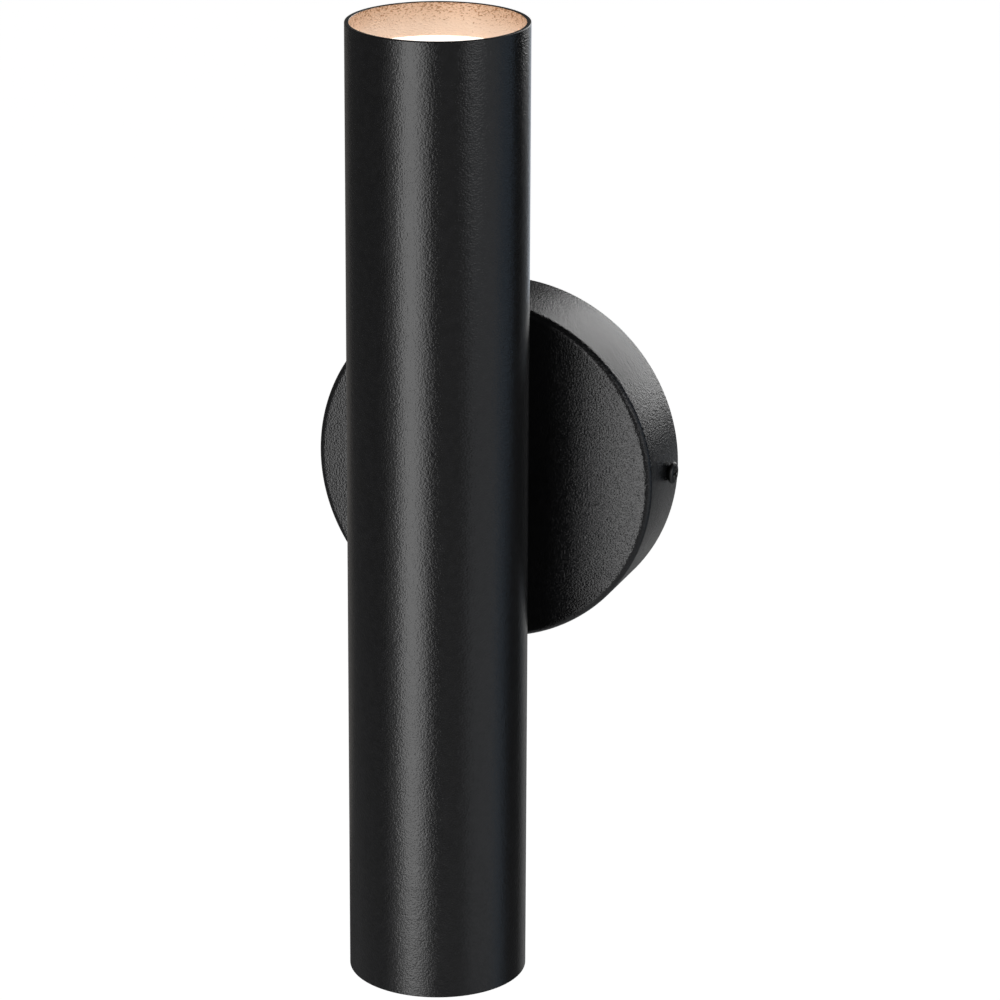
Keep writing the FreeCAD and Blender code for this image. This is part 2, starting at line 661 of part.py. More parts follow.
def make_driver_case():
    """A tray with an ear at each end, posts for the board and a hole in each end wall for two leads."""
    body = new_body("driver_case")
    block = sketch_on(body, "case_block", "XZ_Plane", f"{DRIVER_BACK} + driver_wall")
    add_driver_outline(block)
    pad(body, block, "driver_depth - driver_wall")
    hollow = sketch_on(body, "case_hollow", "XZ_Plane", f"{PLATE_BACK} - driver_wall")
    add_driver_outline(hollow, "driver_wall")
    pocket(body, hollow, "driver_depth")
    ears = sketch_on(body, "case_ears", "XZ_Plane", f"{PLATE_BACK} - driver_ear_thickness")
    for side in ("", "-"):
        edges = [f"{side}driver_width / 2", f"{side}(driver_width / 2 + driver_ear)"]
        left, right = sorted(edges, key=size)
        bottom = f"{DRIVER_MIDDLE} - driver_ear / 2"
        add_rectangle(ears, left, right, bottom, f"{bottom} + driver_ear")
        add_circle(ears, SMALL_SCREW_HOLE, f"{side}{DRIVER_SCREW}", DRIVER_MIDDLE)
    pad(body, ears, "driver_ear_thickness")
    posts = sketch_on(body, "case_posts", "XZ_Plane", DRIVER_BOARD)
    for side in ("", "-"):
        for row in ("-", "+"):
            add_circle(posts, "post_diameter", f"{side}(driver_width / 2 - post_inset)",
                       f"{DRIVER_MIDDLE} {row} (driver_height / 2 - post_inset)")
    pad(body, posts, "driver_board_standoff")
    leads = sketch_on(body, "case_lead_holes", "YZ_Plane")
    add_circle(leads, "driver_lead_hole", f"-{DRIVER_LEAD_DEPTH}", DRIVER_MIDDLE)
    pocket(body, leads, "driver_width + 2 * cut_overshoot", symmetric=True)
    return body


def make_driver_lid():
    body = new_body("driver_lid")
    cover = sketch_on(body, "lid_cover", "XZ_Plane", DRIVER_BACK)
    add_driver_outline(cover)
    pad(body, cover, "driver_wall")
    lip = sketch_on(body, "lid_lip", "XZ_Plane", f"{DRIVER_BACK} + driver_wall")
    add_driver_outline(lip, "driver_wall + slide_clearance")
    add_driver_outline(lip, "2 * driver_wall")
    pad(body, lip, "lid_lip_height")
    return body


def make_driver_board():
    body = new_body("driver_board")
    outline = sketch_on(body, "driver_board_outline", "XZ_Plane", DRIVER_BOARD_BACK)
    add_driver_outline(outline, "driver_wall + bore_clearance")
    pad(body, outline, "driver_board_thickness")
    return body


def make_driver_transformer():
    """The coil former's block stands on the board and points at the wall."""
    body = new_body("driver_transformer")
    core = sketch_on(body, "transformer_core", "XZ_Plane", DRIVER_BOARD_BACK)
    left = "transformer_offset - transformer_side / 2"
    bottom = f"{DRIVER_MIDDLE} - transformer_side / 2"
    add_rectangle(core, left, f"{left} + transformer_side", bottom, f"{bottom} + transformer_side")
    pad(body, core, "transformer_height", backward=True)
    return body


def make_driver_capacitors():
    body = new_body("driver_capacitors")
    cans = sketch_on(body, "capacitor_cans", "XZ_Plane", DRIVER_BOARD_BACK)
    for row in ("-", "+"):
        add_circle(cans, "capacitor_diameter", "-capacitor_offset",
                   f"{DRIVER_MIDDLE} {row} capacitor_spacing / 2")
    pad(body, cans, "capacitor_height", backward=True)
    return body


def make_driver_screws():
    body = new_body("driver_screws")
    seat = f"{PLATE_BACK} - driver_ear_thickness"
    for side in ("", "-"):
        add_screw(body, "XZ_Plane", seat, "driver_ear_thickness + plate_thickness - thread_clearance",
                  f"{side}{DRIVER_SCREW}", DRIVER_MIDDLE)
    return body


def make_terminal_block():
    """Three poles side by side. A lead goes in from above or below and a screw from behind clamps it."""
    body = new_body("terminal_block")
    block = sketch_on(body, "terminal_outline", "XZ_Plane", TERMINAL_BACK)
    add_rectangle(block, "-terminal_width / 2", "terminal_width / 2", "-terminal_drop - terminal_height",
                  "-terminal_drop")
    for side in ("", "-"):
        add_circle(block, SMALL_SCREW_HOLE, f"{side}{TERMINAL_SCREW}", TERMINAL_MIDDLE)
    pad(body, block, "terminal_depth")
    mouths = sketch_on(body, "terminal_mouths", "XY_Plane", "cut_overshoot - terminal_drop")
    clamps = sketch_on(body, "terminal_clamps", "XZ_Plane", POLE_DEPTH)
    for pole in POLES:
        add_circle(mouths, "terminal_mouth", f"{pole} * terminal_pitch", f"-{POLE_DEPTH}")
        for row in ("-", "+"):
            add_circle(clamps, "clamp_screw_diameter + 2 * thread_clearance", f"{pole} * terminal_pitch",
                       f"{TERMINAL_MIDDLE} {row} clamp_spacing / 2")
    pocket(body, mouths, "terminal_height + 2 * cut_overshoot")
    pocket(body, clamps, "pole_inset + cut_overshoot")
    return body


def make_terminal_clamp_screws():
    body = new_body("terminal_clamp_screws")
    grubs = sketch_on(body, "clamp_grubs", "XZ_Plane", TERMINAL_BACK)
    for pole in POLES:
        for row in ("-", "+"):
            add_circle(grubs, "clamp_screw_diameter", f"{pole} * terminal_pitch",
                       f"{TERMINAL_MIDDLE} {row} clamp_spacing / 2")
    pad(body, grubs, "pole_inset - lead_diameter / 2 - thread_clearance")
    return body


def make_terminal_mounting_screws():
    body = new_body("terminal_mounting_screws")
    for side in ("", "-"):
        add_screw(body, "XZ_Plane", TERMINAL_BACK, "terminal_depth + plate_thickness - thread_clearance",
                  f"{side}{TERMINAL_SCREW}", TERMINAL_MIDDLE)
    return body


# --- rail and light engines in the tube --------------------------------------------------------------
# Each engine is drawn about the tube's axis with +Z towards its own end of the tube.

def make_chassis_rail():
    """A strap up the back of the bore, clamped by the nipple, with a flange bent in at each end."""
    body = in_tube(new_body("chassis_rail"))
    profile = sketch_on(body, "rail_profile", "YZ_Plane")
    add_outline(profile, [
        (RAIL_BACK, SINK_BACK), ("-rail_flange_reach", SINK_BACK), ("-rail_flange_reach", FLANGE_BACK),
        (RAIL_FRONT, FLANGE_BACK), (RAIL_FRONT, f"-{FLANGE_BACK}"),
        ("-rail_flange_reach", f"-{FLANGE_BACK}"), ("-rail_flange_reach", f"-{SINK_BACK}"),
        (RAIL_BACK, f"-{SINK_BACK}"),
    ])
    pad(body, profile, "rail_width", symmetric=True)

    def bend(edge, depth, height):
        middle = edge.BoundBox.Center
        level = edge.BoundBox.XLength > size("rail_width") - TINY
        at_height = abs(abs(middle.z) - size(height)) < TINY
        return level and at_height and abs(middle.y - size(depth)) < TINY
    dress_edges(body, "Fillet", lambda edge: bend(edge, RAIL_BACK, SINK_BACK), "rail_bend_radius")
    dress_edges(body, "Fillet", lambda edge: bend(edge, RAIL_FRONT, FLANGE_BACK),
                "rail_bend_radius - rail_thickness")
    centre = sketch_on(body, "rail_nipple_hole", "XZ_Plane")
    add_circle(centre, NIPPLE_HOLE)
    pocket(body, centre, "tube_diameter / 2")
    flange_holes = sketch_on(body, "rail_flange_holes", "XY_Plane")
    for side in ("", "-"):
        add_circle(flange_holes, SMALL_SCREW_HOLE, "0", f"{side}carrier_screw_spacing / 2")
    pocket(body, flange_holes, "tube_length", symmetric=True)
    return body


def engine_body(end, name):
    return in_tube(new_body(f"{end}_{name}"), flipped=end == "lower")


def drill_for_board_screws(body, offset, depth, diameter):
    """Drill the ring of holes that the board's screws pass, downwards from a level."""
    hole = sketch_on(body, f"{body.Name}_screw_hole", "XY_Plane", offset)
    add_circle(hole, diameter, "0", f"{BOARD_SCREW_CIRCLE} / 2")
    around(body, [pocket(body, hole, depth)], "board_screw_count")


def drill_for_leads(body, offset, depth):
    holes = sketch_on(body, f"{body.Name}_lead_holes", "XY_Plane", offset)
    for side in ("", "-"):
        add_circle(holes, "lead_hole_diameter", f"{side}{LEAD_HOLE}", "0")
    pocket(body, holes, depth)


def make_heat_sink(end):
    """A disc that fits the bore, over a core, two screw bosses and a ring of radial fins."""
    body = engine_body(end, "heat_sink")
    base = sketch_on(body, f"{end}_sink_base", "XY_Plane", f"{SINK_FACE} - sink_base_thickness")
    add_circle(base, BORE_FIT)
    pad(body, base, "sink_base_thickness")
    core = sketch_on(body, f"{end}_sink_core", "XY_Plane", SINK_BACK)
    add_circle(core, "sink_core_diameter")
    pad(body, core, "sink_fin_length")
    bosses = sketch_on(body, f"{end}_sink_bosses", "XY_Plane", SINK_BACK)
    for side in ("", "-"):
        add_circle(bosses, "sink_boss_diameter", "0", f"{side}carrier_screw_spacing / 2")
    pad(body, bosses, "sink_fin_length")
    fin = sketch_on(body, f"{end}_sink_fin", "XY_Plane", SINK_BACK)
    add_rectangle(fin, "-sink_fin_thickness / 2", "sink_fin_thickness / 2", "sink_core_diameter / 4",
                  "sink_fin_circle / 2")
    around(body, [pad(body, fin, "sink_fin_length")], "sink_fin_count")
    tap_depth = "carrier_screw_length + tap_runout"
    taps = sketch_on(body, f"{end}_sink_taps", "XY_Plane", f"{SINK_BACK} + {tap_depth}")
    for side in ("", "-"):
        add_circle(taps, SMALL_SCREW_TAP, "0", f"{side}carrier_screw_spacing / 2")
    pocket(body, taps, f"{tap_depth} + cut_overshoot")
    drill_for_leads(body, SINK_FACE, "sink_base_thickness")
    drill_for_board_screws(body, SINK_FACE, "board_screw_grip + tap_runout", BOARD_SCREW_TAP)
    return body


def make_carrier_screws(end):
    body = engine_body(end, "carrier_screws")
    for side in ("", "-"):
        add_screw(body, "XY_Plane", FLANGE_BACK, "rail_thickness + carrier_screw_length", "0",
                  f"{side}carrier_screw_spacing / 2")
    return body


def make_thermal_pad(end):
    body = engine_body(end, "thermal_pad")
    disc = sketch_on(body, f"{end}_pad_disc", "XY_Plane", SINK_FACE)
    add_circle(disc, "board_diameter")
    pad(body, disc, "pad_thickness")
    drill_for_leads(body, BOARD_BACK, "pad_thickness")
    drill_for_board_screws(body, BOARD_BACK, "pad_thickness", BOARD_SCREW_HOLE)
    return body


def make_led_board(end):
    body = engine_body(end, "led_board")
    disc = sketch_on(body, f"{end}_board_disc", "XY_Plane", BOARD_BACK)
    add_circle(disc, "board_diameter")
    pad(body, disc, "board_thickness")
    drill_for_leads(body, BOARD_FACE, "board_thickness")
    drill_for_board_screws(body, BOARD_FACE, "board_thickness", BOARD_SCREW_HOLE)
    return body


def make_led_chips(end):
    body = engine_body(end, "led_chips")
    chip = sketch_on(body, f"{end}_chip", "XY_Plane", BOARD_FACE)
    add_rectangle(chip, "-chip_side / 2", "chip_side / 2", "chip_circle / 2 - chip_side / 2",
                  "chip_circle / 2 + chip_side / 2")
    around(body, [pad(body, chip, "chip_height")], "chip_count")
    return body


def make_board_screws(end):
    body = engine_body(end, "board_screws")
    features = add_screw(body, "XY_Plane", f"{BOARD_FACE} + cup_foot_thickness",
                         "cup_foot_thickness + board_thickness + pad_thickness + board_screw_grip",
                         "0", f"{BOARD_SCREW_CIRCLE} / 2", kind="board_screw", head_forward=True)
    around(body, features, "board_screw_count")
    return body


def make_reflector_cup(end):
    """A white cup with a flat foot that the board's screws clamp, opening to a collar for the diffuser."""
    body = engine_body(end, "reflector_cup")
    half = sketch_on(body, f"{end}_cup_half", "XZ_Plane")
    foot_top = f"{BOARD_FACE} + cup_foot_thickness"
    collar_bottom = f"{CUP_TOP} - cup_collar_height"
    opening = f"{CUP_OPENING} / 2"
    add_outline(half, [
        (opening, BOARD_FACE), ("board_diameter / 2", BOARD_FACE), ("board_diameter / 2", foot_top),
        (f"{opening} + cup_root_wall", foot_top), (f"{CUP_RIM} / 2", collar_bottom),
        (f"{CUP_RIM} / 2", CUP_TOP), (f"{CUP_RIM} / 2 - cup_wall", CUP_TOP),
        (f"{CUP_RIM} / 2 - cup_wall", collar_bottom), (opening, foot_top),
    ])
    turn(body, half, "V_Axis")
    drill_for_board_screws(body, foot_top, "cup_foot_thickness", BOARD_SCREW_HOLE)
    return body


def make_diffuser(end):
    """An opal cap: a disc across the bore with a skirt that slides over the cup's collar."""
    body = engine_body(end, "diffuser")
    half = sketch_on(body, f"{end}_diffuser_half", "XZ_Plane")
    skirt_bottom = f"{CUP_TOP} - diffuser_skirt"
    add_outline(half, [
        ("0", CUP_TOP), (f"{SKIRT_BORE} / 2", CUP_TOP), (f"{SKIRT_BORE} / 2", skirt_bottom),
        (f"{BORE_FIT} / 2", skirt_bottom), (f"{BORE_FIT} / 2", DIFFUSER_FACE), ("0", DIFFUSER_FACE),
    ])
    turn(body, half, "V_Axis")
    return body


# --- leads -------------------------------------------------------------------------------------------

def make_lead(name, places):
    """A lead along straight runs joined by arcs, which are as large as their runs allow."""
    points = [VECTOR(*(size(part) for part in place)) for place in places]
    edges = []
    radii = []
    start = points[0]
    for before, corner, after in zip(points, points[1:], points[2:]):
        inward = (corner - before).normalize()
        outward = (after - corner).normalize()
        half_turn = inward.getAngle(outward) / 2
        shorter = min(before.distanceToPoint(corner), corner.distanceToPoint(after))
        tangent = ARC_SHARE * shorter
        radius = tangent / math.tan(half_turn)
        arc_start = corner - inward * tangent
        arc_end = corner + outward * tangent
        sagitta = radius / math.cos(half_turn) - radius
        arc_middle = corner + (outward - inward).normalize() * sagitta
        edges.append(Part.LineSegment(start, arc_start).toShape())
        edges.append(Part.Arc(arc_start, arc_middle, arc_end).toShape())
        radii.append(radius)
        start = arc_end
    edges.append(Part.LineSegment(start, points[-1]).toShape())
    path = Part.Wire(edges)
    section = Part.Wire(Part.makeCircle(size("lead_diameter") / 2, points[0], points[1] - points[0]))
    lead = doc.addObject("Part::Feature", name)
    lead.Label = name
    lead.Shape = path.makePipeShell([section], True, False)
    lead.Placement = FreeCAD.Placement()
    expected = math.pi * (size("lead_diameter") / 2) ** 2 * path.Length
    if not math.isclose(lead.Shape.Volume, expected, rel_tol=VOLUME_TOLERANCE):
        raise RuntimeError(f"{name}: volume is {lead.Shape.Volume}, expected {expected}")
    print(name, "length", round(path.Length, 1), "radii", [round(radius, 1) for radius in radii])
    return lead


def make_mains_leads():
    """Line and neutral go from the terminal block round to the driver; earth goes to the strap."""
    block_end = "-terminal_drop - lead_insertion"
    driver_end = "driver_width / 2 - lead_insertion / 2"
    line_side = f"{DRIVER_MIDDLE} - lead_pair_offset"
    neutral_side = f"{DRIVER_MIDDLE} + lead_pair_offset"
    line = make_lead("line_lead", [
        ("terminal_pitch", f"-{POLE_DEPTH}", block_end), ("terminal_pitch", f"-{POLE_DEPTH}", "-9"),
        ("27", "-18", "-3"), ("39", "-15", "11"),
        ("35", f"-{DRIVER_LEAD_DEPTH}", line_side), (driver_end, f"-{DRIVER_LEAD_DEPTH}", line_side),
    ])
    neutral = make_lead("neutral_lead", [
        ("0", f"-{POLE_DEPTH}", block_end), ("0", f"-{POLE_DEPTH}", "-11.5"),
        ("15", "-14", "-9"), ("34", "-10", "0"), ("45", "-12", "14"),
        ("39", f"-{DRIVER_LEAD_DEPTH}", neutral_side), (driver_end, f"-{DRIVER_LEAD_DEPTH}", neutral_side),
    ])
    ground = make_lead("ground_lead", [
        ("-terminal_pitch", f"-{POLE_DEPTH}", block_end), ("-terminal_pitch", f"-{POLE_DEPTH}", "-9"),
        ("-19", "-17", "-7"), ("-28.5", "-9", "-14"), ("-28.5", f"-{BARREL_DEPTH}", "-23"),
        ("-28.5", f"-{BARREL_DEPTH}", "-31"), ("-ground_screw_offset", f"-{BARREL_DEPTH}", "-31"),
        ("-ground_screw_offset", f"-{BARREL_DEPTH}", f"{BARREL_BOTTOM} + barrel_length / 2"),
    ])
    return [line, neutral, ground]


def make_output_lead(name, up):
    """From the driver through the nipple, then up (1) or down (-1) the tube to a light engine."""
    beside = f"{up} * lead_pair_offset"
    return make_lead(name, [
        ("-driver_width / 2 + lead_insertion / 2", f"-{DRIVER_LEAD_DEPTH}", f"{DRIVER_MIDDLE} - {beside}"),
        (f"-36 + {beside}", f"-{DRIVER_LEAD_DEPTH}", f"{DRIVER_MIDDLE} - {beside}"),
        (f"-43 + 2 * {beside}", "-12", f"13 + {beside}"), ("-31", "-9", beside), ("0", "-9", beside),
        ("0", f"-{NIPPLE_FRONT} - 13", beside),
        ("8", f"-{TUBE_AXIS}", f"{up} * 34"),
        (LEAD_HOLE, f"-{TUBE_AXIS}", f"{up} * 70"),
        (LEAD_HOLE, f"-{TUBE_AXIS}", f"{up} * ({BOARD_FACE} + lead_end_height)"),
    ])


def make_link_lead():
    """Joins the two light engines in series, with a little slack towards the rail."""
    return make_lead("link_lead", [
        (f"-{LEAD_HOLE}", f"-{TUBE_AXIS}", f"{BOARD_FACE} + lead_end_height"),
        (f"-{LEAD_HOLE}", f"-{TUBE_AXIS}", "70"),
        (f"-{LEAD_HOLE} + 2", f"-{TUBE_AXIS} + 7", "0"),
        (f"-{LEAD_HOLE}", f"-{TUBE_AXIS}", "-70"),
        (f"-{LEAD_HOLE}", f"-{TUBE_AXIS}", f"-({BOARD_FACE} + lead_end_height)"),
    ])


# --- assembly, checks and files ----------------------------------------------------------------------

def make_pieces():
    pieces = [
        make_tube(), make_canopy(), make_stem_collar(), make_threaded_nipple(),
        make_nut("canopy_nut", CANOPY_NUT_BACK), make_lock_washer(),
        make_nut("tube_nut", TUBE_NUT_BACK), make_saddle_washer(),
        make_bushing("canopy_bushing", NIPPLE_BACK, towards_wall=True),
        make_bushing("tube_bushing", NIPPLE_FRONT, towards_wall=False),
        make_wall_bracket(), make_canopy_screws(), make_ground_screw(), make_ground_terminal(),
        make_component_plate(), make_driver_case(), make_driver_lid(), make_driver_board(),
        make_driver_transformer(), make_driver_capacitors(), make_driver_screws(),
        make_terminal_block(), make_terminal_clamp_screws(), make_terminal_mounting_screws(),
        make_chassis_rail(),
    ]
    makers = [make_heat_sink, make_carrier_screws, make_thermal_pad, make_led_board, make_led_chips,
              make_board_screws, make_reflector_cup, make_diffuser]
    for end in ("upper", "lower"):
        pieces += [make(end) for make in makers]
    pieces += make_mains_leads()
    pieces += [make_output_lead("positive_lead", 1), make_output_lead("negative_lead", -1), make_link_lead()]
    return pieces


def check(pieces):
    """Stop if a feature failed, a cut took nothing away or a piece has no sound solid."""
    faults = [thing.Name for thing in doc.Objects if {"Invalid", "Error"} & set(thing.State)]
    for cut in doc.Objects:
        if cut.TypeId in ("PartDesign::Pocket", "PartDesign::Groove"):
            if cut.Shape.Volume > cut.BaseFeature.Shape.Volume - TINY:
                faults.append(f"{cut.Name} cuts nothing")
    for piece in pieces:
        if piece.Shape.isNull() or not piece.Shape.isValid() or not piece.Shape.Solids:
            faults.append(f"{piece.Label} is no sound solid")
    if faults:
        raise RuntimeError("; ".join(faults))


all_pieces = make_pieces()
doc.recompute()
check(all_pieces)
os.makedirs("parts", exist_ok=True)
for piece in all_pieces:
    piece.Shape.exportStep(f"parts/{piece.Label}.step")
print(len(all_pieces), "pieces written")
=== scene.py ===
import json
import math

import bmesh
import bpy
from mathutils import Matrix, Vector


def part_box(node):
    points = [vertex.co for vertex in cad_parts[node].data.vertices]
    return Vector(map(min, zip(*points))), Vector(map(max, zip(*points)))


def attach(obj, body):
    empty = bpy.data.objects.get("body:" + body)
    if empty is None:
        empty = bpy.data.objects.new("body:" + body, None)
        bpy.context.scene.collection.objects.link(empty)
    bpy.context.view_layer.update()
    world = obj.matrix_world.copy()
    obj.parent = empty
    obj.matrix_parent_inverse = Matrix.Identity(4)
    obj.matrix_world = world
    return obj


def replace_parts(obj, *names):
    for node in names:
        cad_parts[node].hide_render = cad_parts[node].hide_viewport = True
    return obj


# Tube wall light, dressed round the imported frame: a material for every node, and finer pieces in place
# of the tube, the canopy, the diffusers and the canopy's screws. Metres and degrees, with the wall at
# y = 0 and the room towards -Y.

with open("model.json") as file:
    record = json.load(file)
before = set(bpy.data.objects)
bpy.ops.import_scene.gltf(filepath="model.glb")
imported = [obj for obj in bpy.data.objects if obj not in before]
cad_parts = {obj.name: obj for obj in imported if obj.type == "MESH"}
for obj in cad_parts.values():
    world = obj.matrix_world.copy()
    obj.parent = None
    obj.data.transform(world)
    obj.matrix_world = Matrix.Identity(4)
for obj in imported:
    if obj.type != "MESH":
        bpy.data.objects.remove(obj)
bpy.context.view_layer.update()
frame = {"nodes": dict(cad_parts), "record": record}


# --- sizes -------------------------------------------------------------------------------------------

MM = 0.001

TUBE_LOW, TUBE_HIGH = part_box("tube")
TUBE_RADIUS = (TUBE_HIGH.x - TUBE_LOW.x) / 2
TUBE_CENTRE = (TUBE_HIGH + TUBE_LOW) / 2
TUBE_HALF = TUBE_HIGH.z
RIM_FILLET = 0.3 * MM

CANOPY_LOW, CANOPY_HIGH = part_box("canopy")
CANOPY_RADIUS = CANOPY_HIGH.x
CANOPY_DEPTH = -CANOPY_LOW.y
CANOPY_FILLET = 2.4 * MM  # round its front edge
CANOPY_BEND_FILLET = 0.6 * MM  # inside that edge
CANOPY_CUT_FILLET = 0.2 * MM  # at its rim and its hole
NIPPLE_CLEARANCE = 0.2 * MM

SHEET = 1.5 * MM  # thickness of the tube's and the canopy's walls

DIFFUSER_FACE = 2 * MM  # thickness of its face
DIFFUSER_SKIRT = 1.1 * MM  # and of the skirt round it
DIFFUSER_EDGE_FILLET = 0.5 * MM
DIFFUSER_CORNER_FILLET = 0.3 * MM
DIFFUSER_CUT_FILLET = 0.15 * MM

SHANK_RADIUS = 2 * MM
SHANK_LENGTH = 9 * MM
SHANK_CHAMFER = 0.5 * MM
DOME_RINGS = 26
DOME_CROWN = 0.12  # share of the head's height by which its crowned face falls to the edge
DOME_ROUND = 0.3  # share by which the round at the edge falls as well
DOME_ROUND_POWER = 14  # a higher power makes that round smaller
UNDERSIDE = ((0.98, 0.45), (0.7, 0))  # shares of the head's radius and height, drawn in to the canopy
FACE_FROM = 0.5  # share of the head's height above which all its points are on the face
RECESS_DEPTH = 1.3 * MM
RECESS_REACH = 2.7 * MM  # from the middle to the end of an arm
RECESS_END_SLOPE = 0.6 * MM
RECESS_ARM = 0.55 * MM  # from the middle to the middle of an arm's side wall
RECESS_SIDE_SLOPE = 0.3 * MM
RECESS_TURN = 6

SHELL_STEPS = 256
DIFFUSER_STEPS = 192
SCREW_STEPS = 96
SHARP_ANGLE = 35


# --- meshes ------------------------------------------------------------------------------------------

def rounded(corners, steps=6):
    """Give the points of a closed outline whose corners are (radius, height, fillet)."""
    points = []
    places = [Vector(corner[:2]) for corner in corners]
    for index, (radius, height, fillet) in enumerate(corners):
        corner = Vector((radius, height))
        if not fillet:
            points.append(corner)
            continue
        backward = (places[index - 1] - corner).normalized()
        forward = (places[(index + 1) % len(places)] - corner).normalized()
        half = backward.angle(forward) / 2
        centre = corner + (backward + forward).normalized() * fillet / math.sin(half)
        start = (corner + backward * fillet / math.tan(half) - centre).normalized()
        end = (corner + forward * fillet / math.tan(half) - centre).normalized()
        points += [centre + fillet * start.slerp(end, step / steps) for step in range(steps + 1)]
    return points


def lathe(name, outline, place, steps, closed=True):
    """Turn an outline of (radius, height) points round the Z axis of a placing matrix."""
    mesh = bmesh.new()
    turns = [2 * math.pi * step / steps for step in range(steps)]
    rings = []
    for radius, height in outline:
        if radius:
            points = [Vector((radius * math.cos(turn), radius * math.sin(turn), height)) for turn in turns]
            rings.append([mesh.verts.new(place @ point) for point in points])
        else:
            # On the axis, one point serves all steps.
            rings.append([mesh.verts.new(place @ Vector((0, 0, height)))] * steps)
    pairs = list(zip(rings, rings[1:]))
    if closed:
        pairs.append((rings[-1], rings[0]))
    for lower, upper in pairs:
        for step in range(steps):
            ahead = (step + 1) % steps
            loop = [lower[step], lower[ahead], upper[ahead], upper[step]]
            corners = list(dict.fromkeys(loop))
            if len(corners) > 2:
                mesh.faces.new(corners)
    return finished(name, mesh)


def finished(name, mesh):
    """Turn a bmesh into a smooth-shaded piece that rides on the lamp."""
    bmesh.ops.recalc_face_normals(mesh, faces=mesh.faces)
    data = bpy.data.meshes.new(name)
    mesh.to_mesh(data)
    mesh.free()
    for polygon in data.polygons:
        polygon.use_smooth = True
    data.set_sharp_from_angle(angle=math.radians(SHARP_ANGLE))
    piece = bpy.data.objects.new(name, data)
    bpy.context.scene.collection.objects.link(piece)
    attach(piece, "root")
    return piece


# --- shader nodes ------------------------------------------------------------------------------------

NOISE_START, NOISE_END = 0.35, 0.65  # most of a noise texture's values lie between these


def add_node(tree, kind, **values):
    """Add a node; each value is for the input of that name or, where there is none, for the setting."""
    node = tree.nodes.new(kind)
    for key, value in values.items():
        title = key.replace("_", " ").title()
        if isinstance(value, bpy.types.NodeSocket):
            tree.links.new(value, node.inputs[title])
        elif title in node.inputs:
            node.inputs[title].default_value = value
        else:
            setattr(node, key, value)
    return node


def add_maths(tree, operation, *values):
    """Add a Math node and give its result; each value is a number or an output of another node."""
    node = add_node(tree, "ShaderNodeMath", operation=operation)
    for socket, value in zip(node.inputs, values):
        if isinstance(value, bpy.types.NodeSocket):
            tree.links.new(value, socket)
        else:
            socket.default_value = value
    return node.outputs["Value"]


def tinted(colour, factor):
    """Make a colour darker or lighter by a factor."""
    return tuple(min(1.0, channel * factor) for channel in colour)


class Finish:
    """A material with a Principled shader, and short ways to add the nodes that feed it."""

    def __init__(self, name, colour, roughness, **sockets):
        self.name = name
        self.colour = colour
        self.material = bpy.data.materials.new(name)
        self.material.use_nodes = True
        self.tree = self.material.node_tree
        self.shader = self.tree.nodes["Principled BSDF"]
        self.place = add_node(self.tree, "ShaderNodeTexCoord").outputs["Object"]
        self.set("Base Color", (*colour, 1))
        self.set("Roughness", roughness)
        for socket, value in sockets.items():
            self.set(socket.replace("_", " "), value)

    def set(self, socket, value):
        """Give a socket of the shader one value all over the surface."""
        self.shader.inputs[socket].default_value = value

    def feed(self, socket, output):
        """Let a socket of the shader follow a node's output."""
        self.tree.links.new(output, self.shader.inputs[socket])

    def noise(self, size, detail=2, stretch=(1, 1, 1)):
        """Noise whose features are about this size, longer along an axis whose stretch is smaller."""
        mapping = add_node(self.tree, "ShaderNodeMapping", vector=self.place, scale=stretch)
        texture = add_node(self.tree, "ShaderNodeTexNoise", vector=mapping.outputs["Vector"],
                           scale=1 / size, detail=detail)
        return texture.outputs["Fac"]

    def cells(self, size):
        """Rounded cells about this size, which rise from 0 at their middles."""
        texture = add_node(self.tree, "ShaderNodeTexVoronoi", feature="SMOOTH_F1", vector=self.place,
                           scale=1 / size)
        return texture.outputs["Distance"]

    def spread(self, value, first, last, start=NOISE_START, end=NOISE_END):
        """Map a value between start and end to a number between first and last."""
        node = add_node(self.tree, "ShaderNodeMapRange", value=value, from_min=start, from_max=end,
                        to_min=first, to_max=last)
        return node.outputs["Result"]

    def blend(self, value, first, last, start=NOISE_START, end=NOISE_END):
        """Map a value between start and end to a colour between first and last."""
        ramp = add_node(self.tree, "ShaderNodeValToRGB", fac=value)
        for element, place, colour in zip(ramp.color_ramp.elements, (start, end), (first, last)):
            element.position = place
            element.color = (*colour, 1)
        return ramp.outputs["Color"]

    def vary_colour(self, value, first, last, start=NOISE_START, end=NOISE_END):
        """Tint the base colour by factors between first and last."""
        tints = tinted(self.colour, first), tinted(self.colour, last)
        self.feed("Base Color", self.blend(value, *tints, start, end))

    def vary_roughness(self, value, first, last):
        """Let the roughness follow a noise value between first and last."""
        self.feed("Roughness", self.spread(value, first, last))

    def bumps(self, *layers):
        """Raise the surface by layers of (value, depth), one over the other."""
        normal = None
        for value, depth in layers:
            node = add_node(self.tree, "ShaderNodeBump", strength=1.0, distance=depth, height=value)
            if normal:
                self.tree.links.new(normal, node.inputs["Normal"])
            normal = node.outputs["Normal"]
        self.feed("Normal", normal)
        return self


# --- materials ---------------------------------------------------------------------------------------

BLACK = (0.011, 0.011, 0.0115)
# Gold for the bore: pale where the diffuser lights it, and a richer, darker gold at the rims as painted
# shade
LIT_PALE_GOLD = (0.88, 0.66, 0.5)
SHADED_RICH_GOLD = (0.84, 0.55, 0.36)
PIT_BROWN_AND_SHADE = (0.42, 0.2, 0.08)
PITTED_AND_SHADED_STRETCH = 8 * MM  # how far in from a rim the gold is pitted and darkened as painted shade
PIT_SIZE, PIT_DEPTH = 0.9 * MM, 0.2 * MM
BORE_PIT_OFFSET, RIM_PIT_OFFSET = 0.14, -0.07  # offsets to the pits' noise, deep in the bore and at a rim; a lower sum paints more pits brown as shade
SHADED_PIT_BELOW, GOLD_PIT_ABOVE = 0.34, 0.48  # the sum of both under which a pit is painted brown as shade, and over which it is gold
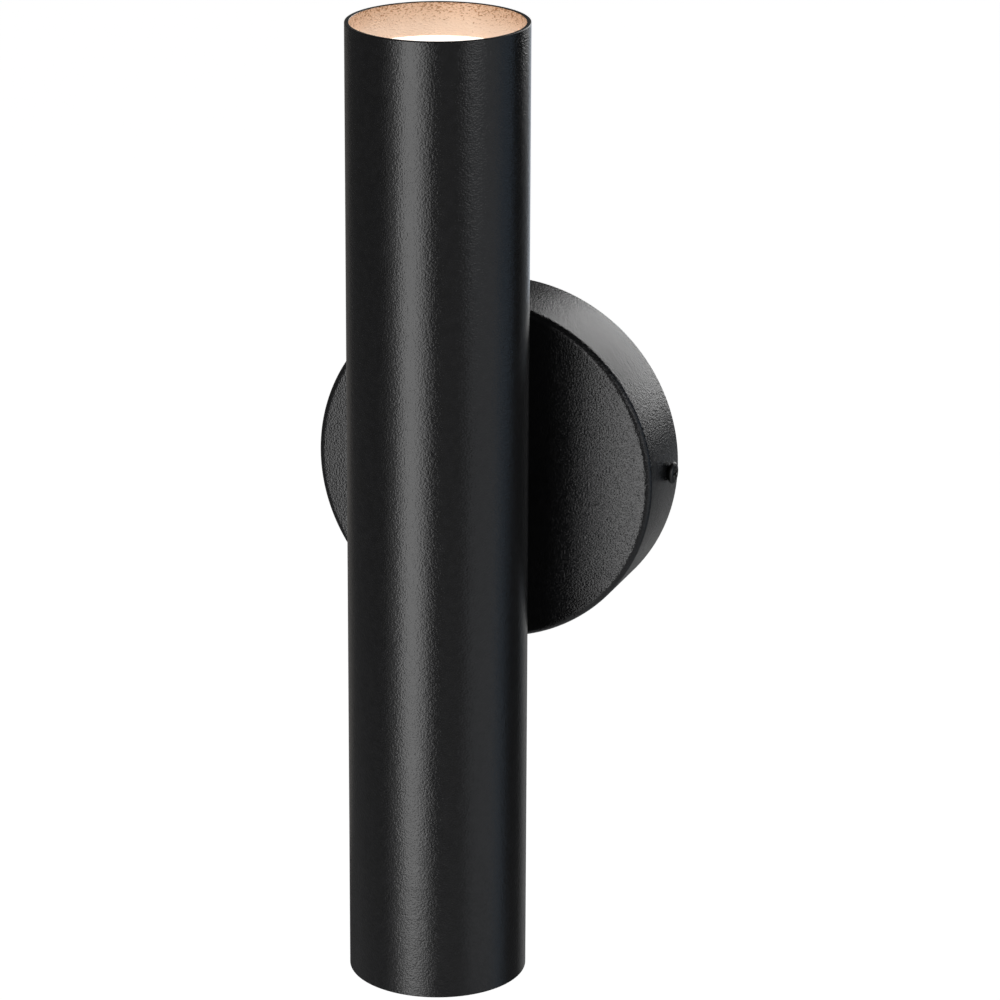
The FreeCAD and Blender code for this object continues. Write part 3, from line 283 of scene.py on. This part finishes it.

PEEL_SIZE = 0.6 * MM
TUBE_PEEL_DEPTH, CANOPY_PEEL_DEPTH = 0.1 * MM, 0.19 * MM
WAVE_SIZE, WAVE_DEPTH = 2.2 * MM, 0.05 * MM

DIFFUSER_GLOW, CHIP_GLOW = 1.2, 2.0
CREAM, IVORY = (1.0, 0.97, 0.93), (1.0, 0.99, 0.96)
AMBER, PALE_AMBER = (1.0, 0.8, 0.5), (1.0, 0.9, 0.68)


def powder_coat(name, colour, peel_depth):
    """Satin powder coat: an orange-peel skin of this depth, over slow waves."""
    coat = Finish(name, colour, 0.17, IOR=1.5)
    coat.vary_colour(coat.noise(2.5 * MM, detail=4), 0.85, 1.15)
    coat.vary_roughness(coat.noise(9 * MM, detail=3), 0.15, 0.19)
    peel = coat.noise(PEEL_SIZE, detail=1)
    waves = coat.noise(WAVE_SIZE, detail=1)
    return coat.bumps((peel, peel_depth), (waves, WAVE_DEPTH))


def gold_coat_with_painted_shade(name, colour):
    """Gold paint inside the tube's ends, smooth and pale below, and a richer, darker gold with pits towards
    the rims: painted shade where the diffuser's light grazes the bore.
    """
    coat = Finish(name, colour, 0.5, Metallic=0.3, Coat_Weight=1.0, Coat_Roughness=0.22, Coat_IOR=1.6)
    place = add_node(coat.tree, "ShaderNodeSeparateXYZ", vector=coat.place)
    height = add_maths(coat.tree, "ABSOLUTE", place.outputs["Z"])
    near_rim = coat.spread(height, 0.0, 1.0, start=TUBE_HALF - PITTED_AND_SHADED_STRETCH, end=TUBE_HALF)
    # Painted shade: the gold turns richer and darker towards the rim, away from the glowing diffuser.
    paint = coat.blend(near_rim, colour, SHADED_RICH_GOLD, start=0.0, end=1.0)
    peel = coat.noise(PIT_SIZE, stretch=(1, 1, 1.8))
    # Painted shade in the pits: towards the rims more of the bumped pits turn brown.
    pit_offset = coat.spread(near_rim, BORE_PIT_OFFSET, RIM_PIT_OFFSET, start=0.0, end=1.0)
    pit_level = add_maths(coat.tree, "ADD", peel, pit_offset)
    painted = coat.spread(pit_level, 0.0, 1.0, start=SHADED_PIT_BELOW, end=GOLD_PIT_ABOVE)
    mixed = add_node(coat.tree, "ShaderNodeMixRGB", fac=painted, color1=(*PIT_BROWN_AND_SHADE, 1), color2=paint)
    coat.feed("Base Color", mixed.outputs["Color"])
    coat.vary_roughness(coat.noise(5 * MM, detail=3), 0.44, 0.56)
    return coat.bumps((peel, PIT_DEPTH))


def opal(name, colour):
    """Opal acrylic lit from behind, with faint warm clouds in its glow."""
    sheet = Finish(name, colour, 0.45, Emission_Strength=DIFFUSER_GLOW)
    glow = sheet.noise(14 * MM)
    sheet.feed("Emission Color", sheet.blend(glow, CREAM, IVORY))
    return sheet.bumps((sheet.noise(0.4 * MM), 0.002 * MM))


def plated(name, colour, roughness):
    """Plated or bare metal: rolling marks along one way, and clouds in the polish."""
    metal = Finish(name, colour, roughness, Metallic=1.0)
    clouds = metal.noise(6 * MM, detail=4)
    metal.vary_colour(clouds, 0.94, 1.04)
    metal.vary_roughness(clouds, roughness + 0.05, roughness - 0.03)
    rolling = metal.noise(0.25 * MM, detail=3, stretch=(0.06, 1, 1))
    return metal.bumps((rolling, 0.004 * MM))


def moulded(name, colour, roughness):
    """Moulded plastic: a spark-eroded grain and slight flow marks."""
    plastic = Finish(name, colour, roughness)
    flow = plastic.noise(11 * MM, stretch=(1, 1, 0.4))
    plastic.vary_colour(flow, 0.94, 1.03)
    plastic.vary_roughness(flow, roughness - 0.05, roughness + 0.05)
    return plastic.bumps((plastic.noise(0.35 * MM), 0.006 * MM))


def solder_mask(name, colour):
    """Solder mask over copper, which shows through as slightly lighter cells."""
    mask = Finish(name, colour, 0.3, Coat_Weight=0.4)
    copper = mask.cells(5 * MM)
    mask.vary_colour(copper, 1.15, 0.92, start=0.3, end=0.36)
    mask.vary_roughness(mask.noise(3 * MM, detail=3), 0.26, 0.38)
    return mask.bumps((copper, 0.01 * MM))


def insulation(name, colour):
    """Extruded wire insulation: soft sheen with fine draw marks."""
    sleeve = Finish(name, colour, 0.42)
    sleeve.vary_colour(sleeve.noise(8 * MM), 0.9, 1.05)
    marks = sleeve.noise(0.6 * MM)
    sleeve.vary_roughness(marks, 0.36, 0.5)
    return sleeve.bumps((marks, 0.008 * MM))


def phosphor(name, colour):
    """Yellow phosphor under silicone, lit."""
    chip = Finish(name, colour, 0.2, Emission_Strength=CHIP_GLOW)
    grain = chip.noise(0.2 * MM, detail=3)
    chip.vary_colour(grain, 0.85, 1.0)
    chip.feed("Emission Color", chip.blend(grain, AMBER, PALE_AMBER))
    return chip.bumps((grain, 0.01 * MM))


finishes = {finish.name: finish for finish in (
    powder_coat("tube_powder_coat", BLACK, TUBE_PEEL_DEPTH),
    powder_coat("black_powder_coat", BLACK, CANOPY_PEEL_DEPTH),
    plated("black_screw", (0.07, 0.07, 0.07), roughness=0.4),
    plated("zinc_steel", (0.62, 0.62, 0.6), roughness=0.32),
    plated("bare_aluminium", (0.72, 0.72, 0.73), roughness=0.36),
    plated("brass", (0.75, 0.6, 0.3), roughness=0.3),
    plated("green_screw", (0.05, 0.32, 0.1), roughness=0.34),
    moulded("black_plastic", (0.03, 0.03, 0.03), roughness=0.45),
    moulded("white_plastic", (0.82, 0.82, 0.8), roughness=0.45),
    solder_mask("circuit_board", (0.06, 0.25, 0.12)),
    solder_mask("white_board", (0.86, 0.86, 0.84)),
    moulded("ferrite", (0.09, 0.085, 0.08), roughness=0.6),
    moulded("capacitor_sleeve", (0.03, 0.03, 0.05), roughness=0.25),
    phosphor("led_phosphor", (0.95, 0.8, 0.3)),
    moulded("thermal_pad", (0.45, 0.5, 0.6), roughness=0.7),
    opal("opal_diffuser", (0.93, 0.93, 0.92)),
    insulation("black_insulation", (0.03, 0.03, 0.03)),
    insulation("white_insulation", (0.85, 0.85, 0.83)),
    insulation("green_insulation", (0.05, 0.35, 0.1)),
    insulation("red_insulation", (0.55, 0.03, 0.03)),
)}
gold = gold_coat_with_painted_shade("gold_coat_with_painted_shade", LIT_PALE_GOLD)

slot_of = {part["node"]: part["material_slot"] for part in frame["record"]["subparts"]}
for name, node in frame["nodes"].items():
    node.data.materials.clear()
    node.data.materials.append(finishes[slot_of[name]].material)


# --- pieces that stand for CAD nodes -----------------------------------------------------------------

FACING = 0.7  # a face of the tube is in its bore where its normal points this much to the axis


def dress(piece, slot, *replaced):
    """Give a piece the finish of a record slot, and let it stand for CAD nodes."""
    piece.data.materials.append(finishes[slot].material)
    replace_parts(piece, *replaced)


def make_tube_shell():
    """The tube with rounded rims, black outside and gold in its bore."""
    bore = TUBE_RADIUS - SHEET
    outline = rounded([
        (TUBE_RADIUS, -TUBE_HALF, RIM_FILLET), (TUBE_RADIUS, TUBE_HALF, RIM_FILLET),
        (bore, TUBE_HALF, RIM_FILLET), (bore, -TUBE_HALF, RIM_FILLET),
    ])
    shell = lathe("tube_shell", outline, Matrix.Translation(TUBE_CENTRE), SHELL_STEPS)
    dress(shell, "tube_powder_coat", "tube")
    shell.data.materials.append(gold.material)
    for polygon in shell.data.polygons:
        inward = TUBE_CENTRE - polygon.center
        inward.z = 0
        if polygon.normal.dot(inward.normalized()) > FACING:
            polygon.material_index = 1


def make_canopy_shell():
    """The canopy: a drawn dish with a soft front edge and a hole for the nipple."""
    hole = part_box("threaded_nipple")[1].x + NIPPLE_CLEARANCE
    bore = CANOPY_RADIUS - SHEET
    floor = CANOPY_DEPTH - SHEET
    outline = rounded([
        (CANOPY_RADIUS, 0, CANOPY_CUT_FILLET), (CANOPY_RADIUS, CANOPY_DEPTH, CANOPY_FILLET),
        (hole, CANOPY_DEPTH, CANOPY_CUT_FILLET), (hole, floor, 0),
        (bore, floor, CANOPY_BEND_FILLET), (bore, 0, CANOPY_CUT_FILLET),
    ], steps=8)
    shell = lathe("canopy_shell", outline, Matrix.Rotation(math.radians(90), 4, "X"), SHELL_STEPS)
    dress(shell, "black_powder_coat", "canopy")


def make_diffuser_cap(end, up):
    """An opal cap with an eased edge, for the upper (1) or lower (-1) end."""
    low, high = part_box(f"{end}_diffuser")
    radius = (high.x - low.x) / 2
    bore = radius - DIFFUSER_SKIRT
    top = high.z if up > 0 else -low.z
    inside = top - DIFFUSER_FACE
    bottom = top - (high.z - low.z)
    outline = rounded([
        (0, top, 0), (radius, top, DIFFUSER_EDGE_FILLET),
        (radius, bottom, DIFFUSER_CUT_FILLET), (bore, bottom, DIFFUSER_CUT_FILLET),
        (bore, inside, DIFFUSER_CORNER_FILLET), (0, inside, 0),
    ])
    place = Matrix.Translation(Vector((0, TUBE_CENTRE.y, 0)))
    if up < 0:
        place = place @ Matrix.Rotation(math.pi, 4, "X")
    cap = lathe(f"{end}_diffuser_cap", outline, place, DIFFUSER_STEPS, closed=False)
    dress(cap, "opal_diffuser", f"{end}_diffuser")


def screw_outline(head_radius, head_height):
    """A pan head's outline from the middle of its face to the shank's tip, with the canopy at height 0."""
    outline = []
    for ring in range(DOME_RINGS + 1):
        part = ring / DOME_RINGS
        height = 1 - DOME_CROWN * part ** 2 - DOME_ROUND * part ** DOME_ROUND_POWER
        outline.append((head_radius * part, head_height * height))
    outline += [(head_radius * part, head_height * height) for part, height in UNDERSIDE]
    return outline + [
        (SHANK_RADIUS, 0), (SHANK_RADIUS, -SHANK_LENGTH + SHANK_CHAMFER),
        (SHANK_RADIUS - SHANK_CHAMFER, -SHANK_LENGTH), (0, -SHANK_LENGTH),
    ]


def cross_recess(across, along):
    """How deep a cross recess is, from 0 to 1, at a point of the head's face."""
    def arm_depth(side, length):
        in_width = (RECESS_ARM + RECESS_SIDE_SLOPE / 2 - abs(side)) / RECESS_SIDE_SLOPE
        in_length = (RECESS_REACH - abs(length)) / RECESS_END_SLOPE
        return max(0.0, min(1.0, in_width, in_length))

    return max(arm_depth(across, along), arm_depth(along, across))


def make_canopy_screw(name, side):
    """A pan-head screw with a cross recess, on the right (1) or left (-1) of the canopy."""
    low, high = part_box("canopy_screws")
    middle = (low + high) / 2
    head_radius = (high.z - low.z) / 2
    head_height = high.x - CANOPY_RADIUS
    outward = Matrix.Rotation(math.radians(90 * side), 4, "Y")
    turned = Matrix.Rotation(math.radians(RECESS_TURN), 4, "Z")
    place = Matrix.Translation(Vector((side * CANOPY_RADIUS, middle.y, middle.z))) @ outward @ turned
    unplace = place.inverted()
    screw = lathe(name, screw_outline(head_radius, head_height), place, SCREW_STEPS, closed=False)
    for vertex in screw.data.vertices:
        local = unplace @ vertex.co
        if local.z > head_height * FACE_FROM:
            local.z -= RECESS_DEPTH * cross_recess(local.x, local.y)
            vertex.co = place @ local
    dress(screw, "black_screw")
    return screw


make_tube_shell()
make_canopy_shell()
make_diffuser_cap("upper", 1)
make_diffuser_cap("lower", -1)
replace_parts(make_canopy_screw("canopy_screw_right", 1), "canopy_screws")
make_canopy_screw("canopy_screw_left", -1)


# --- camera, floor and light -------------------------------------------------------------------------

# The camera was fitted to the object's outlines in the photograph.
CAMERA_AZIMUTH = 21.023
CAMERA_ELEVATION = 18.786
CAMERA_DISTANCE = 1.5191
CAMERA_TARGET = Vector((0, TUBE_CENTRE.y, -1.3 * MM))
CAMERA_LENS = 165.2  # millimetres, as the sensor's width
CAMERA_SENSOR = 36
CAMERA_SHIFT_X = 0.0623
CAMERA_SHIFT_Y = 0.0110

FLOOR_HEIGHT = -1.6
FLOOR_HALF_WIDTH = 7
FLOOR_FRONT, FLOOR_BACK = -3, 12
FLOOR_GREY = (0.8, 0.8, 0.8)
FLOOR_GLOW = 0.98

ROOM_STRENGTH = 0.02
BACKDROP_HALF_ANGLE = 35  # of the part of the background that glows in reflections
BACKDROP_GLOSS = 0.2

LIGHT_DISTANCE = 2.0
LIGHT_BOTTOM, LIGHT_TOP = -1.5, 1.2  # heights of the softboxes that say no other
WHITE = (1, 1, 1)
COOL = (0.97, 1, 1.05)
SKY = (0.87, 1, 1.15)
BLUISH = (0.75, 1, 1.3)
WARM = (1.06, 1, 0.94)


def aim(thing, target):
    """Turn a camera or a light to a point."""
    thing.rotation_mode = "QUATERNION"
    thing.rotation_quaternion = (target - thing.location).to_track_quat("-Z", "Y")


def around(azimuth, elevation, distance, centre):
    """A point round a centre: azimuth 0 is in front, towards -Y, and 90 is on the right."""
    turn, rise = math.radians(azimuth), math.radians(elevation)
    level = math.cos(rise)
    return centre + distance * Vector((math.sin(turn) * level, -math.cos(turn) * level, math.sin(rise)))


def make_camera():
    """The photograph's view: a long lens, a little to the right and above."""
    data = bpy.data.cameras.new("camera")
    data.lens = CAMERA_LENS
    data.sensor_width = CAMERA_SENSOR
    data.shift_x = CAMERA_SHIFT_X
    data.shift_y = CAMERA_SHIFT_Y
    camera = bpy.data.objects.new("camera", data)
    bpy.context.scene.collection.objects.link(camera)
    camera.location = around(CAMERA_AZIMUTH, CAMERA_ELEVATION, CAMERA_DISTANCE, CAMERA_TARGET)
    aim(camera, CAMERA_TARGET)
    bpy.context.scene.camera = camera


def make_softbox(name, azimuth, spread, radiance, bottom=LIGHT_BOTTOM, top=LIGHT_TOP, colour=WHITE):
    """An upright soft light round the lamp, spread degrees wide; radiance 1 looks white."""
    width = 2 * LIGHT_DISTANCE * math.tan(math.radians(spread / 2))
    height = top - bottom
    data = bpy.data.lights.new(name, "AREA")
    data.shape = "RECTANGLE"
    data.size = width
    data.size_y = height
    data.energy = radiance * math.pi * width * height
    data.color = colour
    softbox = bpy.data.objects.new(name, data)
    bpy.context.scene.collection.objects.link(softbox)
    softbox.location = around(azimuth, 0, LIGHT_DISTANCE, TUBE_CENTRE)
    aim(softbox, TUBE_CENTRE)
    softbox.location.z = (top + bottom) / 2
    softbox.visible_camera = False


def background_strength(tree, direction):
    """White to the camera and through glass, and a dimmer glow in reflections that look behind the lamp."""
    ray = add_node(tree, "ShaderNodeLightPath").outputs
    unit = add_node(tree, "ShaderNodeVectorMath", operation="NORMALIZE", vector=direction)
    parts = add_node(tree, "ShaderNodeSeparateXYZ", vector=unit.outputs["Vector"])
    behind = add_node(tree, "ShaderNodeMapRange", value=parts.outputs["Y"],
                      from_min=math.cos(math.radians(BACKDROP_HALF_ANGLE)), to_max=BACKDROP_GLOSS)
    mirrored = add_maths(tree, "MULTIPLY", ray["Is Glossy Ray"], behind.outputs["Result"])
    seen = add_maths(tree, "MAXIMUM", ray["Is Camera Ray"], mirrored)
    return add_maths(tree, "MAXIMUM", ray["Is Transmission Ray"], seen)


def make_world():
    """A white background behind a dim even room."""
    world = bpy.data.worlds.new("room")
    world.use_nodes = True
    tree = world.node_tree
    direction = add_node(tree, "ShaderNodeTexCoord").outputs["Generated"]
    strength = add_maths(tree, "MAXIMUM", background_strength(tree, direction), ROOM_STRENGTH)
    background = tree.nodes["Background"]
    background.inputs["Color"].default_value = (*WHITE, 1)
    tree.links.new(strength, background.inputs["Strength"])
    bpy.context.scene.world = world


def make_floor():
    """A plain pale floor, as far below the lamp as a wall light hangs."""
    mesh = bmesh.new()
    corners = [
        (-FLOOR_HALF_WIDTH, FLOOR_FRONT), (FLOOR_HALF_WIDTH, FLOOR_FRONT),
        (FLOOR_HALF_WIDTH, FLOOR_BACK), (-FLOOR_HALF_WIDTH, FLOOR_BACK),
    ]
    mesh.faces.new([mesh.verts.new((x, y, FLOOR_HEIGHT)) for x, y in corners])
    data = bpy.data.meshes.new("floor")
    mesh.to_mesh(data)
    mesh.free()
    floor = bpy.data.objects.new("floor", data)
    bpy.context.scene.collection.objects.link(floor)
    paint = Finish("pale_floor", FLOOR_GREY, 0.6)
    paint.vary_colour(paint.noise(0.4, detail=3), 0.975, 1.025)
    glow = add_maths(paint.tree, "MULTIPLY", background_strength(paint.tree, paint.place), FLOOR_GLOW)
    paint.set("Emission Color", (*WHITE, 1))
    paint.feed("Emission Strength", glow)
    data.materials.append(paint.material)


make_camera()
make_floor()
make_world()

# The front and right lights show as bands in the tube, and the rear ones in the canopy's side wall.
make_softbox("front_softbox", azimuth=-13, spread=27, radiance=3.35)
make_softbox("front_right_edge", azimuth=6, spread=10, radiance=1.4)
make_softbox("front_left_edge", azimuth=-35, spread=16, radiance=0.5)
make_softbox("right_wash", azimuth=38, spread=40, radiance=0.14)
make_softbox("right_softbox", azimuth=80, spread=44, radiance=0.46, colour=COOL)
make_softbox("right_high_softbox", azimuth=65, spread=22, radiance=1.2, bottom=0.0)
make_softbox("right_edge", azimuth=109, spread=16, radiance=0.28, colour=BLUISH)
make_softbox("right_edge_line", azimuth=121, spread=6, radiance=0.45, bottom=-0.6, colour=BLUISH)
make_softbox("rear_softbox", azimuth=168, spread=34, radiance=2.0, bottom=-0.15, top=2.0)
make_softbox("rear_edge_panel", azimuth=158, spread=8, radiance=0.07, bottom=-0.9, top=-0.3, colour=BLUISH)
make_softbox("rear_middle_panel", azimuth=190, spread=30, radiance=0.55, bottom=-0.6, top=-0.15, colour=SKY)
make_softbox("rear_low_panel", azimuth=176, spread=26, radiance=0.13, top=-0.6)
make_softbox("left_rear_panel", azimuth=222, spread=36, radiance=0.12, bottom=-1.0, top=0.8, colour=WARM)
make_softbox("left_wash", azimuth=277, spread=70, radiance=0.045)

view = bpy.context.scene.view_settings
view.view_transform = "Standard"
